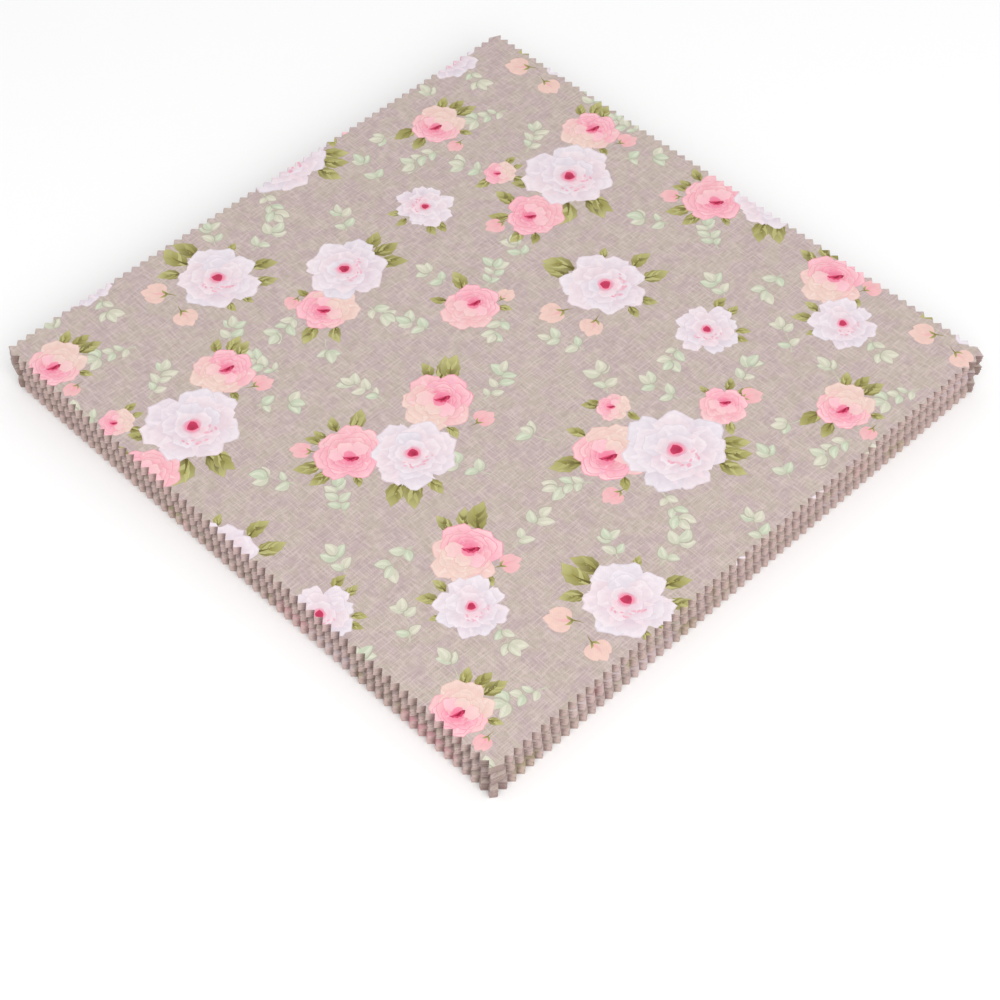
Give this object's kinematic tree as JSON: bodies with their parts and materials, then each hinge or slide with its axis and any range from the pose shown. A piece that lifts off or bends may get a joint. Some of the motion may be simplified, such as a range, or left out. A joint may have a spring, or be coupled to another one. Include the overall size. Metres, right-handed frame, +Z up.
{
  "type": "stack of precut cotton quilting squares",
  "caption": "Neat flat stack of pinked square cotton pieces with a rose print on a warm grey ground.",
  "frame": {"origin": "under the middle of the stack, on the surface that it lies on", "axes": "+X and +Y along the sides of the top square, +Z up through the stack, from the bottom square to the printed face of the top one"},
  "size_m": [0.2549, 0.2548, 0.0173],
  "materials": {
    "printed_cotton": "matt woven cotton, warm grey ground printed with pink roses, white peonies, olive leaves and pale green sprigs"
  },
  "bodies": {
    "root": {"squares_01": "printed_cotton", "squares_02": "printed_cotton", "squares_03": "printed_cotton", "squares_04": "printed_cotton", "squares_05": "printed_cotton", "squares_06": "printed_cotton", "squares_07": "printed_cotton", "squares_08": "printed_cotton", "squares_09": "printed_cotton"}
  },
  "joints": []
}
